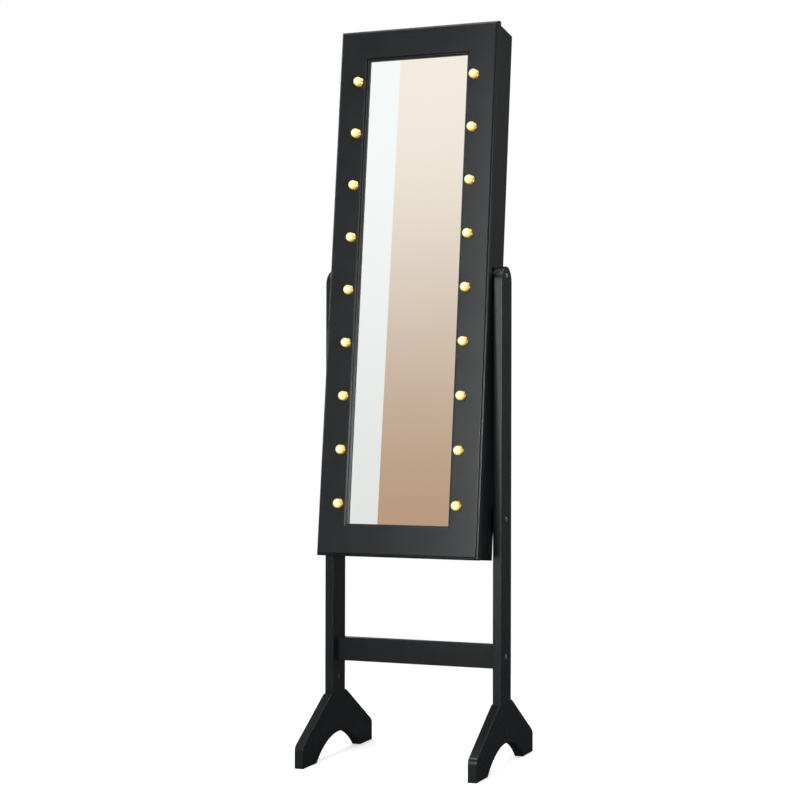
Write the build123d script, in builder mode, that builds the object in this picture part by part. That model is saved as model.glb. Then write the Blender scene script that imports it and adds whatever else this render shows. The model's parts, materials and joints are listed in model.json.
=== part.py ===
from build123d import *
import os
from math import cos, radians, sin, sqrt

# Jewelry armoire: a tall mirrored cabinet that tilts between the two posts of a floor stand.
# Millimetres. +X is the viewer's right, +Y points away from the viewer, +Z is up.
# The origin is on the floor, midway between the two feet.

# ---------------------------------------------------------------- driving dimensions
TILT_DEG = 6.6            # how far the cabinet leans back when it rests on its stop
PIVOT_Z = 958.0           # height of the tilt axis, which lies in the plane Y = 0

BOARD = 18.0              # board of the stand and of the door frame
POST_INNER_X = 168.5      # inner face of each post
POST_DEPTH = 61.0
POST_TOP = 976.0
FOOT_LENGTH = 351.0
FOOT_TOP_LENGTH = 76.0
FOOT_HEIGHT = 125.0
FOOT_TOE_HEIGHT = 42.0
FOOT_TOE_RADIUS = 14.0
ARCH_SPAN = 219.0
ARCH_HEIGHT = 45.0
RAIL_HEIGHT = 47.0
LOWER_RAIL_Z = 213.5      # centre heights of the two cross rails
UPPER_RAIL_Z = 482.0

# Cabinet and door, measured in the cabinet's own frame: right, back and up from the pivot.
DOOR_WIDTH = 335.0
DOOR_BOTTOM = -558.0
DOOR_TOP = 500.0
DOOR_FRONT = -57.0
FRAME_WIDTH = 63.5        # from the door's outer edge to the mirror
MIRROR_SETBACK = 10.5
MIRROR_THICKNESS = 3.0
EDGE_ROUND = 3.0          # the frame's moulding: an outer rounded step,
STEP_LAND = 1.0           # a narrow flat
BEAD = 2.0                # and a small round up to the face
DOOR_GAP = 2.0
BODY_INSET = 3.0          # the door stands this far past the body all round
BODY_DEPTH = 78.0
WALL = 12.0
BACK_THICKNESS = 4.0
LINING = 2.0

BULBS_PER_SIDE = 9
BULB_X = 122.7
BULB_PITCH = 106.0
BULB_MIDDLE = -32.0
GLOBE_RADIUS = 9.0
GLOBE_REACH = 8.0         # from the door's face to the middle of a globe

SHELF_HEIGHTS = [170.0, 40.0, -110.0, -330.0, -440.0]
SHELF_THICKNESS = 8.0
SHELF_DEPTH = 41.0

# ---------------------------------------------------------------- derived places
POST_OUTER_X = POST_INNER_X + BOARD
DOOR_BACK = DOOR_FRONT + BOARD
BODY_FRONT = DOOR_BACK + DOOR_GAP
BODY_BACK = BODY_FRONT + BODY_DEPTH
BODY_HALF = DOOR_WIDTH / 2 - BODY_INSET
BODY_BOTTOM = DOOR_BOTTOM + BODY_INSET
BODY_TOP = DOOR_TOP - BODY_INSET
BODY_HEIGHT = BODY_TOP - BODY_BOTTOM
BODY_MID_Y = (BODY_FRONT + BODY_BACK) / 2
BODY_MID_Z = (BODY_TOP + BODY_BOTTOM) / 2
INNER_HALF = BODY_HALF - WALL
BACK_FACE = BODY_BACK - BACK_THICKNESS
LINING_FACE = BACK_FACE - LINING
DOOR_MID_Z = (DOOR_TOP + DOOR_BOTTOM) / 2
DOOR_HEIGHT = DOOR_TOP - DOOR_BOTTOM

tilt = radians(TILT_DEG)
CABINET = Plane(origin=(0, 0, PIVOT_Z), x_dir=(1, 0, 0), z_dir=(0, sin(tilt), cos(tilt)))
# FRONT faces the viewer: its axes run right and up. SIDE faces right: its axes run back and up.
FRONT = Plane(origin=CABINET.origin, x_dir=CABINET.x_dir, z_dir=-CABINET.y_dir)
SIDE = Plane(origin=CABINET.origin, x_dir=CABINET.y_dir, z_dir=CABINET.x_dir)
SIDES = ((-1, "left"), (1, "right"))

os.makedirs("parts", exist_ok=True)


def save(part, name):
    """Label a finished piece and write its STEP file."""
    part.label = name
    export_step(part, f"parts/{name}.step")


# ================================================================ floor stand
# Posts: upright boards with a half-round top. Each has a bush for the pivot bolt and a
# counterbored hole for each rail bolt.
RAIL_BOLT_RADIUS = 3.0
BOLT_HEAD_RADIUS = 6.0
BOLT_HEAD_DEPTH = 3.0
BUSH_RADIUS = 6.5
PIVOT_BOLT_RADIUS = 4.0
PIVOT_CLEARANCE = 0.06
PIVOT_HEAD_RADIUS = 6.0
PIVOT_HEAD_CLEARANCE = 0.5
FOOT_NUT_Z = FOOT_HEIGHT + 32
FOOT_BOLT_SPARE = 4.0     # hole beyond the tip of a foot bolt
NUT_RADIUS = 5.0
POST_EDGE = 1.2           # radius of the eased edges
DOWEL_RADIUS = 4.0
DOWEL_REACH = 15.0
DOWEL_Y = 21.0
ROUND_CENTRE_Z = POST_TOP - POST_DEPTH / 2
POST_MIDDLE_X = POST_INNER_X + BOARD / 2


def make_post(side):
    outer_face = Plane.YZ.offset(side * POST_OUTER_X)
    inner_face = Plane.YZ.offset(side * POST_INNER_X)
    with BuildPart() as post:
        with BuildSketch(inner_face):
            with BuildLine():
                Polyline(
                    (-POST_DEPTH / 2, ROUND_CENTRE_Z),
                    (-POST_DEPTH / 2, FOOT_HEIGHT),
                    (POST_DEPTH / 2, FOOT_HEIGHT),
                    (POST_DEPTH / 2, ROUND_CENTRE_Z),
                )
                ThreePointArc(
                    (POST_DEPTH / 2, ROUND_CENTRE_Z), (0, POST_TOP), (-POST_DEPTH / 2, ROUND_CENTRE_Z)
                )
            make_face()
        extrude(amount=side * BOARD)
        outline = post.edges().filter_by(Axis.X, reverse=True)
        long_edges = outline.filter_by(Axis.Z).group_by(Axis.Y)
        arcs = outline.filter_by(GeomType.CIRCLE)
        fillet(long_edges[0] + long_edges[-1] + arcs, radius=POST_EDGE)
        with BuildSketch(inner_face):
            with Locations((0, PIVOT_Z)):
                Circle(BUSH_RADIUS)
            with Locations((0, LOWER_RAIL_Z), (0, UPPER_RAIL_Z)):
                Circle(RAIL_BOLT_RADIUS)
            with Locations((0, FOOT_NUT_Z)):
                Circle(NUT_RADIUS)
        extrude(amount=side * (BOARD - BOLT_HEAD_DEPTH), mode=Mode.SUBTRACT)
        with BuildSketch(outer_face):
            with Locations((0, PIVOT_Z)):
                Circle(PIVOT_HEAD_RADIUS + PIVOT_HEAD_CLEARANCE)
            with Locations((0, LOWER_RAIL_Z), (0, UPPER_RAIL_Z)):
                Circle(BOLT_HEAD_RADIUS)
        extrude(amount=-side * BOLT_HEAD_DEPTH, mode=Mode.SUBTRACT)
        with BuildSketch(Plane.XY.offset(FOOT_HEIGHT)):
            with Locations((side * POST_MIDDLE_X, 0)):
                Circle(RAIL_BOLT_RADIUS)
        extrude(amount=FOOT_NUT_Z + NUT_RADIUS + FOOT_BOLT_SPARE - FOOT_HEIGHT, mode=Mode.SUBTRACT)
        with BuildSketch(Plane.XY.offset(FOOT_HEIGHT)):
            with Locations(*[(side * POST_MIDDLE_X, y) for y in (-DOWEL_Y, DOWEL_Y)]):
                Circle(DOWEL_RADIUS)
        extrude(amount=DOWEL_REACH, mode=Mode.SUBTRACT)
    return post.part


# Feet: boards on edge under the posts, sloping down to a short upright toe at each end,
# with a shallow arch cut from the underside.
FOOT_EDGE = 1.0
FOOT_BOLT_HEAD_Z = ARCH_HEIGHT + 3      # the bolt's head sits this high, in a counterbore


def make_foot(side):
    middle_x = side * POST_MIDDLE_X
    with BuildPart() as foot:
        with BuildSketch(Plane.YZ.offset(middle_x)):
            with BuildLine():
                Polyline(
                    (-ARCH_SPAN / 2, 0),
                    (-FOOT_LENGTH / 2, 0),
                    (-FOOT_LENGTH / 2, FOOT_TOE_HEIGHT),
                    (-FOOT_TOP_LENGTH / 2, FOOT_HEIGHT),
                    (FOOT_TOP_LENGTH / 2, FOOT_HEIGHT),
                    (FOOT_LENGTH / 2, FOOT_TOE_HEIGHT),
                    (FOOT_LENGTH / 2, 0),
                    (ARCH_SPAN / 2, 0),
                )
                ThreePointArc((ARCH_SPAN / 2, 0), (0, ARCH_HEIGHT), (-ARCH_SPAN / 2, 0))
            make_face()
        extrude(amount=BOARD / 2, both=True)
        toe_edges = [
            edge
            for edge in foot.edges().filter_by(Axis.X)
            if abs(edge.center().Z - FOOT_TOE_HEIGHT) < 0.1
        ]
        fillet(toe_edges, radius=FOOT_TOE_RADIUS)
        rims = foot.faces().sort_by(Axis.X)
        rim_edges = [
            edge
            for face in (rims[0], rims[-1])
            for edge in face.edges()
            if edge.center().Z > FOOT_EDGE
        ]
        fillet(rim_edges, radius=FOOT_EDGE)
        with BuildSketch(Plane.XY.offset(FOOT_HEIGHT)):
            with Locations((middle_x, 0)):
                Circle(RAIL_BOLT_RADIUS)
        extrude(amount=-FOOT_HEIGHT, mode=Mode.SUBTRACT)
        with BuildSketch(Plane.XY):
            with Locations((middle_x, 0)):
                Circle(BOLT_HEAD_RADIUS)
        extrude(amount=FOOT_BOLT_HEAD_Z + BOLT_HEAD_DEPTH, mode=Mode.SUBTRACT)
        with BuildSketch(Plane.XY.offset(FOOT_HEIGHT)):
            with Locations((middle_x, -DOWEL_Y), (middle_x, DOWEL_Y)):
                Circle(DOWEL_RADIUS)
        extrude(amount=-DOWEL_REACH, mode=Mode.SUBTRACT)
    return foot.part


for side, name in SIDES:
    save(make_post(side), f"{name}_post")
    save(make_foot(side), f"{name}_foot")

# Cross rails between the posts. The upper one is hidden behind the cabinet and is its stop.
# Their cross nuts go in from behind, in holes that stop short of the front.
RAIL_NUT_X = POST_INNER_X - 30
RAIL_NUT_SKIN = 4.0
RAIL_BOLT_OVERRUN = 6.0   # how far a rail bolt passes its nut's axis
RAIL_EDGE = 1.5


def make_rail(centre_z):
    with BuildPart() as rail:
        with BuildSketch(Plane.YZ):
            with Locations((0, centre_z)):
                RectangleRounded(BOARD, RAIL_HEIGHT, RAIL_EDGE)
        extrude(amount=POST_INNER_X, both=True)
        with BuildSketch(*[Plane.YZ.offset(side * POST_INNER_X) for side in (-1, 1)]):
            with Locations((0, centre_z)):
                Circle(RAIL_BOLT_RADIUS)
        extrude(amount=POST_INNER_X - RAIL_NUT_X + RAIL_BOLT_OVERRUN + 2, both=True, mode=Mode.SUBTRACT)
        with BuildSketch(Plane.XZ.offset(-BOARD / 2)):
            with Locations((-RAIL_NUT_X, centre_z), (RAIL_NUT_X, centre_z)):
                Circle(NUT_RADIUS)
        extrude(amount=BOARD - RAIL_NUT_SKIN, mode=Mode.SUBTRACT)
    return rail.part


save(make_rail(LOWER_RAIL_Z), "lower_rail")
save(make_rail(UPPER_RAIL_Z), "upper_rail")

# Rail bolts: socket heads sunk in the posts, with shanks that run into the cross nuts.
SOCKET_RADIUS = 2.5
SOCKET_DEPTH = 2.0
RAIL_HEAD_DOME = 2.4
with BuildPart() as rail_bolts:
    for side in (-1, 1):
        for centre_z in (LOWER_RAIL_Z, UPPER_RAIL_Z):
            with BuildSketch(Plane.YZ.offset(side * POST_OUTER_X)):
                with Locations((0, centre_z)):
                    Circle(BOLT_HEAD_RADIUS)
                    RegularPolygon(SOCKET_RADIUS, 6, mode=Mode.SUBTRACT)
            extrude(amount=-side * BOLT_HEAD_DEPTH)
            with BuildSketch(Plane.YZ.offset(side * (POST_OUTER_X - SOCKET_DEPTH))):
                with Locations((0, centre_z)):
                    Circle(RAIL_BOLT_RADIUS)
            extrude(amount=-side * (POST_OUTER_X - SOCKET_DEPTH - RAIL_NUT_X + RAIL_BOLT_OVERRUN))
    for end in (0, -1):
        head_faces = rail_bolts.faces().group_by(Axis.X)[end]
        fillet(head_faces.edges().filter_by(GeomType.CIRCLE), radius=RAIL_HEAD_DOME)
save(rail_bolts.part, "rail_bolts")

# Foot bolts rise from the top of the arch through the foot into a cross nut in the post.
with BuildPart() as foot_bolts:
    for side in (-1, 1):
        with BuildSketch(Plane.XY.offset(FOOT_BOLT_HEAD_Z)):
            with Locations((side * POST_MIDDLE_X, 0)):
                Circle(BOLT_HEAD_RADIUS)
        extrude(amount=BOLT_HEAD_DEPTH)
        with BuildSketch(Plane.XY.offset(FOOT_BOLT_HEAD_Z + 1)):
            with Locations((side * POST_MIDDLE_X, 0)):
                Circle(RAIL_BOLT_RADIUS)
        extrude(amount=FOOT_NUT_Z + NUT_RADIUS + FOOT_BOLT_SPARE / 2 - FOOT_BOLT_HEAD_Z - 1)
save(foot_bolts.part, "foot_bolts")

# Cross nuts: round bars across the rail ends and in the posts, drilled for the bolts.
NUT_SUNK = 1.0            # how far a nut lies below the face that it goes in from
with BuildPart() as cross_nuts:
    with BuildSketch(Plane.XZ.offset(-BOARD / 2 + NUT_SUNK)):
        with Locations(*[(s * RAIL_NUT_X, z) for s in (-1, 1) for z in (LOWER_RAIL_Z, UPPER_RAIL_Z)]):
            Circle(NUT_RADIUS)
    extrude(amount=BOARD - RAIL_NUT_SKIN - NUT_SUNK)
    for side in (-1, 1):
        with BuildSketch(Plane.YZ.offset(side * (POST_INNER_X + NUT_SUNK))):
            with Locations((0, FOOT_NUT_Z)):
                Circle(NUT_RADIUS)
        extrude(amount=side * (BOARD - BOLT_HEAD_DEPTH - NUT_SUNK))
    with BuildSketch(Plane.YZ):
        with Locations((0, LOWER_RAIL_Z), (0, UPPER_RAIL_Z)):
            Circle(RAIL_BOLT_RADIUS)
    extrude(amount=POST_INNER_X, both=True, mode=Mode.SUBTRACT)
    with BuildSketch(Plane.XY.offset(FOOT_HEIGHT)):
        with Locations(*[(s * POST_MIDDLE_X, 0) for s in (-1, 1)]):
            Circle(RAIL_BOLT_RADIUS)
    extrude(amount=LOWER_RAIL_Z - FOOT_HEIGHT - NUT_RADIUS, mode=Mode.SUBTRACT)
save(cross_nuts.part, "cross_nuts")

# Dowels locate each post on its foot.
with BuildPart() as foot_dowels:
    with BuildSketch(Plane.XY.offset(FOOT_HEIGHT)):
        with Locations(*[(s * POST_MIDDLE_X, y) for s in (-1, 1) for y in (-DOWEL_Y, DOWEL_Y)]):
            Circle(DOWEL_RADIUS)
    extrude(amount=DOWEL_REACH - 0.5, both=True)
save(foot_dowels.part, "foot_dowels")

# Rubber buttons on the upper rail, which the back of the leaning cabinet rests on.
BUMPER_X = 110.0
BUMPER_RADIUS = 6.5
BUMPER_EDGE = 0.8
BUMPER_GAP = 0.9          # measured at the buttons' middle; their upper rims nearly touch
BUMPER_Z = UPPER_RAIL_Z + RAIL_HEIGHT / 2 - 9
BUMPER_TOUCH_Y = (BODY_BACK - (PIVOT_Z - BUMPER_Z) * sin(tilt)) / cos(tilt)
with BuildPart() as stop_bumpers:
    with BuildSketch(Plane.XZ.offset(BOARD / 2)):
        with Locations((-BUMPER_X, BUMPER_Z), (BUMPER_X, BUMPER_Z)):
            Circle(BUMPER_RADIUS)
    extrude(amount=-BUMPER_TOUCH_Y - BOARD / 2 - BUMPER_GAP)
    fillet(stop_bumpers.faces().group_by(Axis.Y)[0].edges(), radius=BUMPER_EDGE)
save(stop_bumpers.part, "stop_bumpers")

# Nylon bushes line the pivot holes of the posts.
with BuildPart() as pivot_bushes:
    for side in (-1, 1):
        with BuildSketch(Plane.YZ.offset(side * POST_INNER_X)):
            with Locations((0, PIVOT_Z)):
                Circle(BUSH_RADIUS)
                Circle(PIVOT_BOLT_RADIUS + PIVOT_CLEARANCE, mode=Mode.SUBTRACT)
        extrude(amount=side * (BOARD - BOLT_HEAD_DEPTH))
save(pivot_bushes.part, "pivot_bushes")

# ================================================================ hinge places
# The door turns about an axis in the gap between it and the body, at its left edge.
HINGE_INSET = 0.5
HINGE_X = -DOOR_WIDTH / 2 + HINGE_INSET
HINGE_Y = DOOR_BACK + DOOR_GAP / 2
HINGE_HEIGHTS = [400.0, -29.0, -458.0]
HINGE_LENGTH = 50.0
BARREL_RADIUS = 1.9
PIN_RADIUS = 0.95
PIN_CLEARANCE = 0.05
LEAF_THICKNESS = 0.8
LEAF_MARGIN = 1.5         # from the leaf to the inner face of the side panel
LEAF_INNER_X = -INNER_HALF - LEAF_MARGIN
BARREL_RELIEF = 0.5
LEAF_EDGE_X = HINGE_X + BARREL_RADIUS + BARREL_RELIEF
DOOR_BARREL = 20.0
BARREL_GAP = 0.3
BARREL_SPACE = HINGE_LENGTH + 1
BODY_BARREL = (HINGE_LENGTH - DOOR_BARREL) / 2 - BARREL_GAP
SCREW_RADIUS = 1.5
SCREW_HEAD_RADIUS = 2.5
SCREW_LENGTH = 10.0
SCREW_X = -INNER_HALF - WALL / 2
SCREW_RISE = 16.0         # from the middle of a hinge to each of its two screws


def hinge_screw_places(screw_y):
    return [(SCREW_X, screw_y, z + dz) for z in HINGE_HEIGHTS for dz in (-SCREW_RISE, SCREW_RISE)]


# ================================================================ cabinet body
INSERT_RADIUS = 6.0
BACK_REBATE = 4.0         # the back panel is let this far into the sides, top and bottom
SIDE_EDGE = 1.0


# Side panels: rebated at the back for the back panel and drilled for the pivot insert.
def make_side(side):
    with BuildPart(CABINET) as panel:
        with Locations((side * (BODY_HALF - WALL / 2), BODY_MID_Y, BODY_MID_Z)):
            Box(WALL, BODY_DEPTH, BODY_HEIGHT)
        with Locations(
            (side * (INNER_HALF + BACK_REBATE / 2), BODY_BACK - BACK_THICKNESS / 2, BODY_MID_Z)
        ):
            Box(BACK_REBATE, BACK_THICKNESS, BODY_HEIGHT - 2 * (WALL - BACK_REBATE), mode=Mode.SUBTRACT)
        with BuildSketch(SIDE.offset(side * INNER_HALF)):
            Circle(INSERT_RADIUS)
        extrude(amount=side * WALL, mode=Mode.SUBTRACT)
        if side < 0:
            with Locations(*hinge_screw_places(BODY_FRONT + SCREW_LENGTH / 2)):
                Cylinder(SCREW_RADIUS, SCREW_LENGTH, rotation=(90, 0, 0), mode=Mode.SUBTRACT)
        outer = panel.faces().sort_by(Axis.X)[0 if side < 0 else -1]
        fillet(outer.edges().filter_by(GeomType.LINE), radius=SIDE_EDGE)
    return panel.part


for side, name in SIDES:
    save(make_side(side), f"cabinet_{name}_side")


# Top and bottom panels run between the sides.
def make_end(middle_z):
    inward = -1 if middle_z > BODY_MID_Z else 1
    with BuildPart(CABINET) as panel:
        with Locations((0, BODY_MID_Y, middle_z)):
            Box(2 * INNER_HALF, BODY_DEPTH, WALL)
        rebate_z = middle_z + inward * (WALL - BACK_REBATE) / 2
        with Locations((0, BODY_BACK - BACK_THICKNESS / 2, rebate_z)):
            Box(2 * INNER_HALF, BACK_THICKNESS, BACK_REBATE, mode=Mode.SUBTRACT)
    return panel.part


save(make_end(BODY_TOP - WALL / 2), "cabinet_top")
save(make_end(BODY_BOTTOM + WALL / 2), "cabinet_bottom")

with BuildPart(CABINET) as cabinet_back:
    with Locations((0, BODY_BACK - BACK_THICKNESS / 2, BODY_MID_Z)):
        Box(2 * (INNER_HALF + BACK_REBATE), BACK_THICKNESS, BODY_HEIGHT - 2 * (WALL - BACK_REBATE))
save(cabinet_back.part, "cabinet_back")

with BuildPart(CABINET) as back_lining:
    with Locations((0, BACK_FACE - LINING / 2, BODY_MID_Z)):
        Box(2 * INNER_HALF, LINING, BODY_HEIGHT - 2 * WALL)
save(back_lining.part, "back_lining")

# Shelves divide the inside from the ring section down to the tray at the bottom.
SHELF_MID_Y = LINING_FACE - SHELF_DEPTH / 2
SHELF_FRONT = LINING_FACE - SHELF_DEPTH
SHELF_EDGE = 1.5
for number, height in enumerate(SHELF_HEIGHTS, start=1):
    with BuildPart(CABINET) as shelf:
        with Locations((0, SHELF_MID_Y, height)):
            Box(2 * INNER_HALF, SHELF_DEPTH, SHELF_THICKNESS)
        fillet(shelf.edges().filter_by(Axis.X).group_by(Axis.Y)[0], radius=SHELF_EDGE)
    save(shelf.part, f"shelf_{number}")

# Clear guard strips keep things on the three lowest levels.
GUARD_HEIGHT = 26.0
GUARD_THICKNESS = 2.0
GUARD_INSET = 2.0
guard_floors = [
    SHELF_HEIGHTS[3] + SHELF_THICKNESS / 2,
    SHELF_HEIGHTS[4] + SHELF_THICKNESS / 2,
    BODY_BOTTOM + WALL,
]
with BuildPart(CABINET) as shelf_guards:
    for floor_z in guard_floors:
        with Locations((0, SHELF_FRONT + GUARD_INSET + GUARD_THICKNESS / 2, floor_z + GUARD_HEIGHT / 2)):
            Box(2 * INNER_HALF, GUARD_THICKNESS, GUARD_HEIGHT)
save(shelf_guards.part, "shelf_guards")

# Necklace hooks stand on a wooden bar near the top.
HOOK_BAR_DEPTH = 12.0
HOOK_BAR_HEIGHT = 24.0
HOOK_BAR_EDGE = 2.0
HOOK_BAR_Z = BODY_TOP - WALL - 26
HOOK_BAR_FRONT = LINING_FACE - HOOK_BAR_DEPTH
HOOKS_EACH_WAY = 4
HOOK_PITCH = 30.0
HOOK_RADIUS = 1.6
HOOK_REACH = 18.0
HOOK_BEND = 5.0
HOOK_RISE = 4.0
HOOK_TIP_RADIUS = 2.6
with BuildPart(CABINET) as hook_bar:
    with Locations((0, LINING_FACE - HOOK_BAR_DEPTH / 2, HOOK_BAR_Z)):
        Box(2 * INNER_HALF, HOOK_BAR_DEPTH, HOOK_BAR_HEIGHT)
    fillet(hook_bar.edges().filter_by(Axis.X).group_by(Axis.Y)[0], radius=HOOK_BAR_EDGE)
save(hook_bar.part, "hook_bar")

bend_start = HOOK_BAR_FRONT - HOOK_REACH
hook_end = bend_start - HOOK_BEND
hook_top = HOOK_BAR_Z + HOOK_BEND + HOOK_RISE
with BuildPart() as necklace_hooks:
    for number in range(-HOOKS_EACH_WAY, HOOKS_EACH_WAY + 1):
        hook_side = SIDE.offset(number * HOOK_PITCH)
        with BuildLine(hook_side) as hook_path:
            Line((HOOK_BAR_FRONT, HOOK_BAR_Z), (bend_start, HOOK_BAR_Z))
            ThreePointArc(
                (bend_start, HOOK_BAR_Z),
                (bend_start - HOOK_BEND * sqrt(0.5), HOOK_BAR_Z + HOOK_BEND * (1 - sqrt(0.5))),
                (hook_end, HOOK_BAR_Z + HOOK_BEND),
            )
            Line((hook_end, HOOK_BAR_Z + HOOK_BEND), (hook_end, hook_top))
        hook_start = hook_side.from_local_coords((HOOK_BAR_FRONT, HOOK_BAR_Z, 0))
        with BuildSketch(Plane(origin=hook_start, z_dir=-CABINET.y_dir)):
            Circle(HOOK_RADIUS)
        sweep()
        with Locations(hook_side.from_local_coords((hook_end, hook_top + 0.5, 0))):
            Sphere(HOOK_TIP_RADIUS)
save(necklace_hooks.part, "necklace_hooks")

# Ring section: a shallow tray holding a cushion of soft rolls, on shelf 2.
RING_BOTTOM = SHELF_HEIGHTS[1] + SHELF_THICKNESS / 2
RING_TOP = SHELF_HEIGHTS[0] - SHELF_THICKNESS / 2
RING_DEPTH = 26.0
RING_RIM = 5.0
RING_FLOOR = 2.0
CUSHION_GAP = 0.5
CUSHION_SUNK = 1.0        # the cushion stays this far below the tray's rim
RING_MID_Z = (RING_BOTTOM + RING_TOP) / 2
RING_HALF = INNER_HALF - RING_RIM
RING_OPENING = RING_TOP - RING_BOTTOM - 2 * RING_RIM
with BuildPart(CABINET) as ring_tray:
    with Locations((0, LINING_FACE - RING_DEPTH / 2, RING_MID_Z)):
        Box(2 * INNER_HALF, RING_DEPTH, RING_TOP - RING_BOTTOM)
    with Locations((0, LINING_FACE - (RING_DEPTH + RING_FLOOR) / 2, RING_MID_Z)):
        Box(2 * RING_HALF, RING_DEPTH - RING_FLOOR, RING_OPENING, mode=Mode.SUBTRACT)
save(ring_tray.part, "ring_tray")

CUSHION_DEPTH = RING_DEPTH - RING_FLOOR - CUSHION_SUNK
with BuildPart(CABINET) as ring_cushion:
    with Locations((0, LINING_FACE - RING_FLOOR - CUSHION_DEPTH / 2, RING_MID_Z)):
        Box(2 * (RING_HALF - CUSHION_GAP), CUSHION_DEPTH, RING_OPENING - 2 * CUSHION_GAP)
save(ring_cushion.part, "ring_cushion")

# Bracelet rods: two round bars on end blocks under shelves 2 and 3.
ROD_DROP = 34.0
ROD_HEIGHTS = [SHELF_HEIGHTS[1] - ROD_DROP, SHELF_HEIGHTS[2] - ROD_DROP]
ROD_RADIUS = 4.0
ROD_Y = LINING_FACE - 22
ROD_BLOCK = 8.0
ROD_BLOCK_SIZE = 18.0
with BuildPart(CABINET) as rod_brackets:
    with Locations(*[(s * (INNER_HALF - ROD_BLOCK / 2), ROD_Y, z) for s in (-1, 1) for z in ROD_HEIGHTS]):
        Box(ROD_BLOCK, ROD_BLOCK_SIZE, ROD_BLOCK_SIZE)
        Cylinder(ROD_RADIUS, ROD_BLOCK, rotation=(0, 90, 0), mode=Mode.SUBTRACT)
save(rod_brackets.part, "rod_brackets")

with BuildPart(CABINET) as bracelet_rods:
    with Locations(*[(0, ROD_Y, z) for z in ROD_HEIGHTS]):
        Cylinder(ROD_RADIUS, 2 * INNER_HALF, rotation=(0, 90, 0))
save(bracelet_rods.part, "bracelet_rods")

# Magnetic catch on the right wall.
CATCH_Z = -30.0
CATCH_WIDTH = 14.0
CATCH_DEPTH = 16.0
CATCH_HEIGHT = 46.0
CATCH_FRONT = BODY_FRONT - 0.4
MAGNET_SIDE = 8.0
MAGNET_HEIGHT = 30.0
with BuildPart(CABINET) as catch_housing:
    with Locations((INNER_HALF - CATCH_WIDTH / 2, CATCH_FRONT + CATCH_DEPTH / 2, CATCH_Z)):
        Box(CATCH_WIDTH, CATCH_DEPTH, CATCH_HEIGHT)
    with Locations((INNER_HALF - CATCH_WIDTH / 2, CATCH_FRONT + MAGNET_SIDE / 2, CATCH_Z)):
        Box(MAGNET_SIDE, MAGNET_SIDE, MAGNET_HEIGHT, mode=Mode.SUBTRACT)
save(catch_housing.part, "catch_housing")

with BuildPart(CABINET) as catch_magnet:
    with Locations((INNER_HALF - CATCH_WIDTH / 2, CATCH_FRONT + MAGNET_SIDE / 2, CATCH_Z)):
        Box(MAGNET_SIDE, MAGNET_SIDE, MAGNET_HEIGHT)
save(catch_magnet.part, "catch_magnet")

# Tilt pivots: a bolt through each post bush into a threaded insert in the cabinet side,
# with a nylon washer in the space between them.
with BuildPart(CABINET) as pivot_inserts:
    for side in (-1, 1):
        with Locations((side * (BODY_HALF - WALL / 2), 0, 0)):
            Cylinder(INSERT_RADIUS, WALL, rotation=(0, 90, 0))
            Cylinder(PIVOT_BOLT_RADIUS, WALL, rotation=(0, 90, 0), mode=Mode.SUBTRACT)
save(pivot_inserts.part, "pivot_inserts")

WASHER_RADIUS = 10.0
WASHER_THICKNESS = POST_INNER_X - BODY_HALF - 0.2
with BuildPart(CABINET) as pivot_washers:
    for side in (-1, 1):
        with Locations((side * (BODY_HALF + WASHER_THICKNESS / 2), 0, 0)):
            Cylinder(WASHER_RADIUS, WASHER_THICKNESS, rotation=(0, 90, 0))
            Cylinder(PIVOT_BOLT_RADIUS, WASHER_THICKNESS, rotation=(0, 90, 0), mode=Mode.SUBTRACT)
save(pivot_washers.part, "pivot_washers")

PIVOT_BOLT_INNER = INNER_HALF + 1
PIVOT_HEAD_INNER = POST_OUTER_X - BOLT_HEAD_DEPTH + 0.3
PIVOT_HEAD_HEIGHT = 3.0
PIVOT_HEAD_DOME = 2.6
with BuildPart() as pivot_bolts:
    for side in (-1, 1):
        with BuildSketch(Plane.YZ.offset(side * PIVOT_BOLT_INNER)):
            with Locations((0, PIVOT_Z)):
                Circle(PIVOT_BOLT_RADIUS)
        extrude(amount=side * (PIVOT_HEAD_INNER + 1 - PIVOT_BOLT_INNER))
        with BuildSketch(Plane.YZ.offset(side * PIVOT_HEAD_INNER)):
            with Locations((0, PIVOT_Z)):
                Circle(PIVOT_HEAD_RADIUS)
        extrude(amount=side * PIVOT_HEAD_HEIGHT)
    fillet(pivot_bolts.faces().sort_by(Axis.X)[0].edges(), radius=PIVOT_HEAD_DOME)
    fillet(pivot_bolts.faces().sort_by(Axis.X)[-1].edges(), radius=PIVOT_HEAD_DOME)
save(pivot_bolts.part, "pivot_bolts")

# ================================================================ hinges
# Three butt hinges on the left edge.

def add_leaf(hinge_z, leaf_y, barrel_places):
    """One hinge leaf with its barrels, in the current part."""
    with Locations(((LEAF_EDGE_X + LEAF_INNER_X) / 2, leaf_y, hinge_z)):
        Box(LEAF_INNER_X - LEAF_EDGE_X, LEAF_THICKNESS, HINGE_LENGTH)
    for barrel_z, length in barrel_places:
        with Locations(((LEAF_EDGE_X + HINGE_X) / 2, leaf_y, barrel_z)):
            Box(LEAF_EDGE_X - HINGE_X, LEAF_THICKNESS, length)
        with Locations((HINGE_X, HINGE_Y, barrel_z)):
            Cylinder(BARREL_RADIUS, length)


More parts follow.
